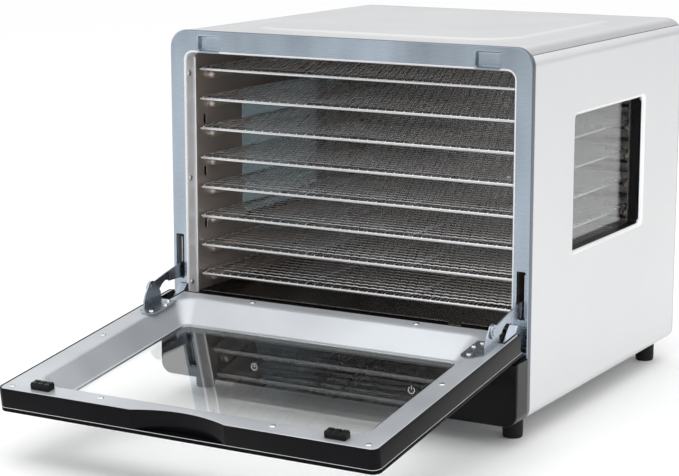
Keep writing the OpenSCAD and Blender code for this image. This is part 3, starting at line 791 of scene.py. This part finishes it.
def front_frame():
    """Front of the cabinet; its rim is coloured dark as painted shade, the flange of the opening bright
    as a painted highlight; two pockets and two slots.
    """
    shape = Shape(in_front)
    outline = round_rect(-HALF, BOTTOM, HALF, TOP, TOP_R, 10, BOTTOM_R)
    opening = round_rect(-OPEN_HALF, OPEN_Z0, OPEN_HALF, OPEN_Z1, OPEN_R, 10)
    rim_r, lip_r, pocket_r, slot_r = 1.5, 2.2, 1.7, 0.8
    turned = roll(rim_r, FRONT, 1)

    def rolled_in(r):
        """Rounded edge of an opening in the front face."""
        return [(-inset, w) for inset, w in roll(r, FRONT, 1)]

    shape.edge(outline, turned[:3])
    # rim in a near-black finish: painted shade on the frame's turned edge
    rim = Shape(in_front)
    rim.edge(outline, turned[2:] + [(0, FRONT + RIM_DEPTH), (1.2, FRONT + RIM_DEPTH)])
    rim.piece("front_frame_rim", "cabinet", MAT["rim"], "steel_frame")
    # flange in a near-white finish: painted highlight along the edge of the opening
    flange = Shape(in_front)
    flange.edge(opening, rolled_in(lip_r) + [(0, FRONT + FLANGE_DEPTH)])
    flange.piece("opening_flange", "cabinet", MAT["flange"], "steel_frame")
    loops = [offset(outline, rim_r), offset(opening, -lip_r)]
    for s in (-1, 1):
        x0, x1 = s * LATCH_X - POCKET_HALF_W, s * LATCH_X + POCKET_HALF_W
        pocket = round_rect(x0, LATCH_Z - POCKET_HALF_H, x1, LATCH_Z + POCKET_HALF_H, 2, 5)
        floor = [(0.3, FRONT + POCKET_DEPTH - 0.4), (1.2, FRONT + POCKET_DEPTH)]
        shape.edge(pocket, rolled_in(pocket_r) + floor)
        shape.fill([offset(pocket, 1.2)], FRONT + POCKET_DEPTH)
        x0, x1 = s * SLOT_X - SLOT_HALF_W, s * SLOT_X + SLOT_HALF_W
        slot = round_rect(x0, SLOT_Z0, x1, SLOT_Z1, 1.2, 4)
        shape.edge(slot, rolled_in(slot_r) + [(0, FRONT + SLOT_DEPTH)])
        loops += [offset(pocket, -pocket_r), offset(slot, -slot_r)]
    shape.fill(loops, FRONT, 0.12)
    node = ("front_frame",)
    shape.piece("front_frame_shell", "cabinet", MAT["frame"], "steel_frame", node, (0, -1, 0), 0, 50)


top_cover()
side_panel(1, "right_side_panel")
side_panel(-1, "left_side_panel")
front_frame()

# ---------------------------------------------------------------- screws, feet, panel


def screw(shape, centre, axis, height, turn=0.0):
    """Pan head with a cross recess."""
    radius = SCREW_R
    steps = 24
    axis = Vector(axis).normalized()
    side = axis.orthogonal().normalized()
    up = axis.cross(side)
    profile = [(0, 1.0), (0.3, 1.0), (0.72, 0.86), (0.93, 0.66)]

    def row(along, reach):
        points = []
        for i in range(steps):
            a = 2 * math.pi * i / steps + turn
            points.append(Vector(centre) + axis * along + spoke(side, up, a) * reach(i))
        return shape.verts(points)

    def cross(i):
        off = abs((i * 360 / steps + 45) % 90 - 45)
        return radius * min(0.56, 0.13 / max(0.05, math.sin(math.radians(off))))

    rings = [row(height * h, lambda i, r=r: radius * r) for h, r in profile]
    rings += [row(height, cross), row(height * 0.35, lambda i: cross(i) * 0.8)]
    shape.skin(rings, caps=(0, -1))


def liner_screws():
    """Heads on the side flanges of the opening."""
    shape = Shape()
    for s in (-1, 1):
        for k, z in enumerate((116, 224, 331)):
            screw(shape, (s * OPEN_HALF, FRONT + 6, z), (-s, 0, 0), SCREW_H, 0.5 * k)
    shape.piece("liner_screw_heads", "cabinet", MAT["screw"], "hardware", ("liner_screws",))


def liner_hems():
    """Rolled front edges of the two liner walls, coloured near white as a painted highlight."""
    shape = Shape()
    r, x, depth, end_gap = 0.85, 180.6, 15.4, 6
    length = OPEN_Z1 - OPEN_Z0 - 2 * end_gap
    for s in (-1, 1):
        base = (s * x, FRONT + depth, OPEN_Z0 + end_gap)
        shape.lathe(base, (0, 0, 1), [(0, r), (length, r)], 20)
    shape.piece("liner_hem_pair", "cabinet", MAT["lip"], "steel_liner")


def rear_screws():
    """Heads along the sides, the top and the foot of the rear panel."""
    shape = Shape()
    spots = [(x, z) for x in (-188, 188) for z in (45, 130, 215, 300)]
    spots += [(x, z) for x in (-120, 0, 120) for z in (30, 366)]
    rear_face = box_mm("rear_panel")[1].y
    for k, (x, z) in enumerate(spots):
        screw(shape, (x, rear_face, z), (0, 1, 0), SCREW_H, 0.7 * k)
    shape.piece("rear_screw_heads", "cabinet", MAT["screw"], "hardware", ("rear_screws",))


def feet():
    """Four turned feet, each with a recess for its screw from below."""
    lo, hi = box_mm("rubber_feet")
    r = 10.0
    recess = [(5.5, 0), (5.5, 4.4), (0.4, 4.5), (0, 5.0)]
    sole = [(0, 8.6), (0.5, 9.3), (2, 9.8), (8, r), (14, r)]
    head = [(hi.z - 0.8, r), (hi.z, 9.4), (hi.z, 0)]
    shape = Shape()
    for x in (lo.x + r, hi.x - r):
        for y in (lo.y + r, hi.y - r):
            shape.lathe((x, y, 0), (0, 0, 1), recess + sole + head, 40)
    shape.piece("rubber_foot_set", "cabinet", MAT["rubber"], "rubber", ("rubber_feet",))


def ring_band(cx, cz, r, width, a0, a1):
    """Outline of a curved stroke."""
    steps = max(6, round(abs(a1 - a0) / 9))
    return arc(cx, cz, r + width / 2, a0, a1, steps) + arc(cx, cz, r - width / 2, a1, a0, steps)


def bar(u0, v0, u1, v1):
    """Outline of a straight stroke."""
    return [(u0, v0), (u1, v0), (u1, v1), (u0, v1)]


ICON_Z = 42.0
ICON_R = 3.3
STROKE = 0.8
POWER_X = 90.2
TIMER_X = -87.3


def power_icon(cx, cz):
    """Open ring with an upright bar in its gap."""
    ring = ring_band(cx, cz, ICON_R, STROKE, 125, 415)
    return [ring, bar(cx - 0.4, cz + 0.6, cx + 0.4, cz + 4.2)]


def timer_icon(cx, cz):
    """Clock face with two hands; its ring is made of four strokes."""
    ring = [ring_band(cx, cz, ICON_R, STROKE, a, a + 90) for a in range(0, 360, 90)]
    minute = bar(cx - 0.35, cz - 0.35, cx + 0.35, cz + 2.2)
    hour = bar(cx + 0.35, cz - 0.35, cx + 1.9, cz + 0.35)
    return ring + [minute, hour]


def control_panel():
    """Glossy face of the panel below the door, with two generic icons."""
    outline = round_rect(-HALF, BOTTOM, HALF, PANEL_TOP, 1.2, 8, BOTTOM_R)
    shape = Shape(in_front)
    shape.slab(outline, PANEL_FACE, PANEL_FACE + 3, 1.1)
    shape.piece("control_face_glass", "cabinet", MAT["gloss"], "black_gloss", ("control_face",))
    icons = Shape(in_front)
    proud = 0.12
    for loop in power_icon(POWER_X, ICON_Z) + timer_icon(TIMER_X, ICON_Z):
        icons.fill([loop], PANEL_FACE - proud)
        icons.edge(loop, [(0, PANEL_FACE - proud), (0, PANEL_FACE + 0.2)])
    icons.piece("touch_icons", "cabinet", MAT["icon"], "black_gloss", (), (0, -1, 0), 0, 30)


liner_screws()
liner_hems()
rear_screws()
feet()
control_panel()

# ---------------------------------------------------------------- trays


COLUMN_PITCH = 5.0
ROW_PITCH = 12.0
ROW_R = 0.45
COLUMN_R = 0.24
WEAVE = 0.3
TUCK = 1.3
ROD_BEND = 3
CROSS_ROD_X = 58


def weave_wires(shape, x0, x1, y0, y1, z):
    """Woven wire cloth; each wire passes over and under its neighbours and ends round the rod."""
    nx = round((x1 - x0) / COLUMN_PITCH)
    ny = round((y1 - y0) / ROW_PITCH)
    xs = [x0 + (x1 - x0) * i / nx for i in range(nx + 1)]
    ys = [y0 + (y1 - y0) * i / ny for i in range(ny + 1)]

    def wire(points, across, r):
        ring = []
        for p in points:
            offs = ((r, 0), (0, r), (-r, 0), (0, -r))
            ring.append(shape.verts([Vector(p) + across * a + Vector((0, 0, b)) for a, b in offs]))
        shape.skin(ring, caps=(0, -1))

    for i, x in enumerate(xs[1:-1], 1):
        path = [(x, y, z + (WEAVE if (i + j) % 2 else -WEAVE)) for j, y in enumerate(ys)]
        first, last = (x, y0 - TUCK, z - TUCK), (x, y1 + TUCK, z - TUCK)
        wire([first, *path, last], Vector((1, 0, 0)), COLUMN_R)
    for j, y in enumerate(ys[1:-1], 1):
        path = [(x, y, z + (-WEAVE if (i + j) % 2 else WEAVE)) for i, x in enumerate(xs)]
        first, last = (x0 - TUCK, y, z - TUCK), (x1 + TUCK, y, z - TUCK)
        wire([first, *path, last], Vector((0, 1, 0)), ROW_R)


def tray_rods(shape, lo, hi, r):
    """Closed rod frame with two thinner rods across it from front to back."""
    x0, y0, x1, y1 = lo.x + r, lo.y + r, hi.x - r, hi.y - r
    z = (lo.z + hi.z) / 2
    loop = round_rect(x0, y0, x1, y1, ROD_BEND, 6)
    shape.tube([(x, y, z) for x, y in loop], r, 12, closed=True)
    for x in (-CROSS_ROD_X, CROSS_ROD_X):
        shape.tube([(x, y0, z), (x, (y0 + y1) / 2, z), (x, y1, z)], r * 0.9, 10)


def trays():
    """The top tray, and seven copies of it that share its two meshes."""
    lo, hi = box_mm("tray_frame_1")
    rod_r = (hi.z - lo.z) / 2
    rods, cloth = Shape(), Shape()
    tray_rods(rods, lo, hi, rod_r)
    cloth_z = sum(p.z for p in box_mm("tray_mesh_1")) / 2
    weave_wires(cloth, lo.x + rod_r, hi.x - rod_r, lo.y + rod_r, hi.y - rod_r, cloth_z)
    first_rods = rods.piece("tray_rods_1", "tray_1", MAT["wire"], "wire", ("tray_frame_1",))
    first_cloth = cloth.piece(
        "tray_cloth_1", "tray_1", MAT["cloth"], "wire", ("tray_mesh_1",), sharp=60
    )
    for k in range(2, 9):
        drop = (box_mm(f"tray_frame_{k}")[0].z - lo.z) * MM
        for first, word, node in ((first_rods, "rods", "frame"), (first_cloth, "cloth", "mesh")):
            copy = bpy.data.objects.new(f"tray_{word}_{k}", first.data)
            bpy.context.scene.collection.objects.link(copy)
            copy.location.z = drop
            join_part(copy, f"tray_{k}", (f"tray_{node}_{k}",))


trays()

# ---------------------------------------------------------------- door


FREE_EDGE_BAND = 12.0


def scoop(points, extra=0.0):
    """Pulls the free edge of an outline down to the arc of the finger scoop."""
    d = SCOOP_DEPTH + extra
    h = SCOOP_HALF + extra
    r = (h * h + d * d) / (2 * d)
    cz = DOOR_TOP - d + r
    pulled = []
    for x, z in points:
        limit = cz - math.sqrt(r * r - x * x) if abs(x) < h else z
        pulled.append((x, min(z, limit) if z > DOOR_TOP - FREE_EDGE_BAND else z))
    return pulled


def door_outline(inset, base, notched=False, curved=True):
    """Outline of the door, with many points along its free edge for the scoop."""
    x, z0, z1 = DOOR_HALF - inset, base + inset, DOOR_TOP - inset
    r = DOOR_R - inset
    low = arc(x - DOOR_LOW_R, z0 + DOOR_LOW_R, DOOR_LOW_R, -90, 0, 5)
    right = low + arc(x - r, z1 - r, r, 0, 90, 8)
    free = [(SCOOP_HALF * (1 - i / 24), z1) for i in range(49)]
    left = [(-u, v) for u, v in reversed(right)]
    if notched:
        near, far = LUG_NOTCH_X0 - inset, LUG_NOTCH_X1 + inset
        top = LUG_NOTCH_TOP + inset
        notch = [(near, z0), (near, top), (far, top), (far, z0)]
        points = notch + right + free + left + [(-u, v) for u, v in reversed(notch)]
    else:
        points = right + free + left
    return scoop(points, inset) if curved else points


def funnel_rings():
    """Profile of the funnel as (share of the way in, depth below the border)."""
    seat_gap, seat = 0.25, 1.6
    upper_bend, lower_bend = 7.0, 2.2
    run, depth = LIP_HALF - HOLE_HALF, DOOR_FACE - DOOR_OUT - GLASS_T - seat_gap
    slope = math.atan2(depth, run)
    reach = upper_bend * math.tan(slope / 2)
    turn = [slope * i / 8 for i in range(9)]
    rows = [(-reach + upper_bend * math.sin(a), upper_bend * (1 - math.cos(a))) for a in turn]
    back = lower_bend * math.tan(slope / 2)
    turn = [slope * (1 - i / 5) for i in range(6)]
    rows += [
        (run + back - lower_bend * math.sin(a), depth - lower_bend * (1 - math.cos(a))) for a in turn
    ]
    rows.append((run + back + seat, depth))
    return [(w / run, d) for w, d in rows]


def funnel_outline(t):
    """Outline at share t of the way from the border of the door to the hole."""

    def mix(a, b):
        return a + (b - a) * t

    x = mix(LIP_HALF, HOLE_HALF)
    r = max(2.0, mix(LIP_R, HOLE_R))
    return round_rect(-x, mix(LIP_Z0, HOLE_Z0), x, mix(LIP_Z1, HOLE_Z1), r, 12)


PANEL_INSET = 1.6


def door_panel():
    """Inner steel panel with its funnel down to the glass."""
    shape = Shape(in_door)
    edge_r, edge_depth = 1.3, 2.4
    outer = door_outline(PANEL_INSET, DOOR_BASE, notched=True)
    rows = funnel_rings()
    shape.edge(outer, roll(edge_r, DOOR_FACE, -1) + [(0, DOOR_FACE - edge_depth)])
    shape.skin([shape.ring(funnel_outline(t), DOOR_FACE - d) for t, d in rows])
    shape.fill([offset(outer, edge_r), funnel_outline(rows[0][0])], DOOR_FACE, FLAT_MARGIN)
    up = SWING.to_3x3() @ Vector((0, 1, 0))
    shape.piece("door_panel_shell", "door", MAT["door"], "door_steel", ("door_inner_panel",), up, 0, 40)


def door_rim():
    """Black moulding between the steel panel and the outer glass, with a thin lip round the panel."""
    shape = Shape(in_door)
    inner = round_rect(-LIP_HALF - 2, LIP_Z0 - 2, LIP_HALF + 2, LIP_Z1 + 2, LIP_R, 10)
    outline = door_outline(0.0, DOOR_BASE, notched=True)
    shape.slab(outline, DOOR_OUT + GLASS_T + 0.3, DOOR_FACE - 1.6, 0.7, [inner])
    lip_out = door_outline(0.2, DOOR_BASE, notched=True)
    lip_in = door_outline(1.5, DOOR_BASE, notched=True)
    shape.slab(lip_out, DOOR_FACE - 3.2, DOOR_FACE + 0.1, 0.5, [lip_in])
    shape.piece("door_rim_moulding", "door", MAT["door_rim"], "black_gloss", ("door_frame",))


def door_glass():
    """Outer pane: its clear field, its black border and a bright strip behind its edge, a painted
    highlight of the glass edge.
    """
    outline = door_outline(0.0, GLASS_BASE, curved=False)
    border, back = GLASS_BORDER, DOOR_OUT + GLASS_T
    x, z0, z1 = HOLE_HALF - border, HOLE_Z0 + border, HOLE_Z1 - border
    clear = round_rect(-x, z0, x, z1, 8, 8)
    pane = Shape(in_door)
    pane.slab(clear, DOOR_OUT, back, 0.2)
    pane.piece("door_pane", "door", MAT["door_glass"], "door_glass", ("door_outer_glass",))
    edging = Shape(in_door)
    edging.slab(outline, DOOR_OUT, back, 0.9, [offset(clear, -0.05)])
    edging.piece("door_glass_border", "door", MAT["print"], "door_glass")
    # bright metal strip behind the pane's edge: a painted highlight of the glass edge
    seam = Shape(in_door)
    seam.slab(outline, back - 0.05, back + 0.4, 0.05, [offset(outline, 1.6)])
    seam.piece("door_glass_edge_painted_highlight", "door", MAT["screw"], "door_glass")


def door_screws():
    """Heads on the border of the inner panel."""
    shape = Shape()
    up = SWING.to_3x3() @ Vector((0, 1, 0))
    spots = [(s * x, z) for s in (-1, 1) for x, z in ((186, 366), (90, 361), (184, 228), (92, 101))]
    for k, (x, z) in enumerate(spots):
        screw(shape, SWING @ Vector((x, DOOR_FACE, z)), up, DOOR_SCREW_H, 0.9 * k)
    shape.piece("door_screw_heads", "door", MAT["screw"], "hardware", ("door_panel_screws",))


def door_latch(side, name):
    """Plug with a ribbed top that snaps into the pocket of the frame."""
    shape = Shape(in_door)
    half_w, half_h, body_h = 10.5, 5.0, 5.4
    rib_half_w, rib_half_h, rib_h = 3.0, 1.9, 6.5
    cx = side * LATCH_X
    base = round_rect(cx - half_w, LATCH_Z - half_h, cx + half_w, LATCH_Z + half_h, 1.4, 4)
    shape.slab(base, DOOR_FACE, DOOR_FACE + body_h, 0.7)
    for x in (cx - 6.9, cx, cx + 6.9):
        for z in (LATCH_Z - 2.4, LATCH_Z + 2.4):
            rib = round_rect(x - rib_half_w, z - rib_half_h, x + rib_half_w, z + rib_half_h, 0.6, 3)
            shape.slab(rib, DOOR_FACE + body_h - 1, DOOR_FACE + rib_h, 0.5)
    shape.piece(name + "_plug", "door", MAT["matt"], "black_plastic", (name,))


door_panel()
door_rim()
door_glass()
door_screws()
door_latch(-1, "left_door_latch")
door_latch(1, "right_door_latch")

# ---------------------------------------------------------------- CAD nodes that keep their shape

KEPT = {
    "liner": ["left_liner_wall", "right_liner_wall"],
    "chamber": ["liner_ceiling", "rear_baffle", "liner_floor", "floor_pan"],
    "rear": ["base_plate", "rear_panel", "arm_guides"],
    "matt": ["left_window_frame", "right_window_frame", "power_inlet"],
    "window_glass": ["right_window_glass"],
    # the left window glass takes the dark painted shade tint
    "painted_shade_glass": ["left_window_glass"],
    "housing": ["control_housing"],
    "board": ["control_board"],
    "motor": ["fan_motor"],
    "wire": ["fan_rotor"],
    "heater": ["heating_element"],
    "screw": ["foot_screws", "bracket_rivets", "door_pivot_pins"],
    "zinc": ["left_door_bracket", "right_door_bracket", "left_hinge_arm", "right_hinge_arm"],
    "lug": ["hinge_lugs"],
}
for finish, names in KEPT.items():
    for node in names:
        data = nodes[node].data
        data.materials.clear()
        data.materials.append(MAT[finish])
